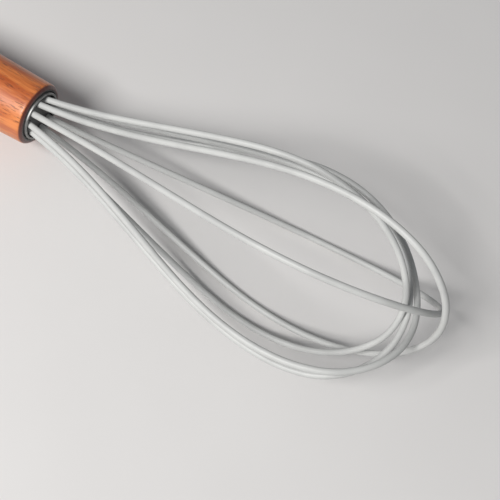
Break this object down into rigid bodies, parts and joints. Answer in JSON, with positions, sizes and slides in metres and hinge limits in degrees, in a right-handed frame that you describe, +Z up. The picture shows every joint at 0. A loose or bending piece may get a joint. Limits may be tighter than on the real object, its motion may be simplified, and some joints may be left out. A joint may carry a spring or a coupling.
{
  "type": "balloon whisk",
  "caption": "Balloon whisk for beating batter and cream, with a turned wooden handle and nested silicone-covered wire loops set in a steel cup.",
  "frame": {"origin": "bottom centre of the whisk's bounding box, on the worktop it lies on", "axes": "+X from the handle's butt towards the tip of the cage, +Z up from the worktop, +Y to the left of the cage seen from the handle"},
  "size_m": [0.2956, 0.0809, 0.0885],
  "materials": {
    "stained_wood": "orange-brown stain under a satin lacquer",
    "polished_steel": "polished rim",
    "plate_steel": "dull pressed steel",
    "potting_resin": "dark cured resin",
    "spring_steel": "drawn wire",
    "grey_silicone": "satin light grey silicone"
  },
  "bodies": {
    "root": {"handle": "stained_wood", "ferrule_cup": "polished_steel", "wire_plate": "plate_steel", "anchor_plate": "plate_steel", "potting_plug": "potting_resin", "wire_core_1": "spring_steel", "silicone_sleeve_1": "grey_silicone", "wire_core_2": "spring_steel", "silicone_sleeve_2": "grey_silicone", "wire_core_3": "spring_steel", "silicone_sleeve_3": "grey_silicone", "wire_core_4": "spring_steel", "silicone_sleeve_4": "grey_silicone", "wire_core_5": "spring_steel", "silicone_sleeve_5": "grey_silicone"}
  },
  "joints": []
}
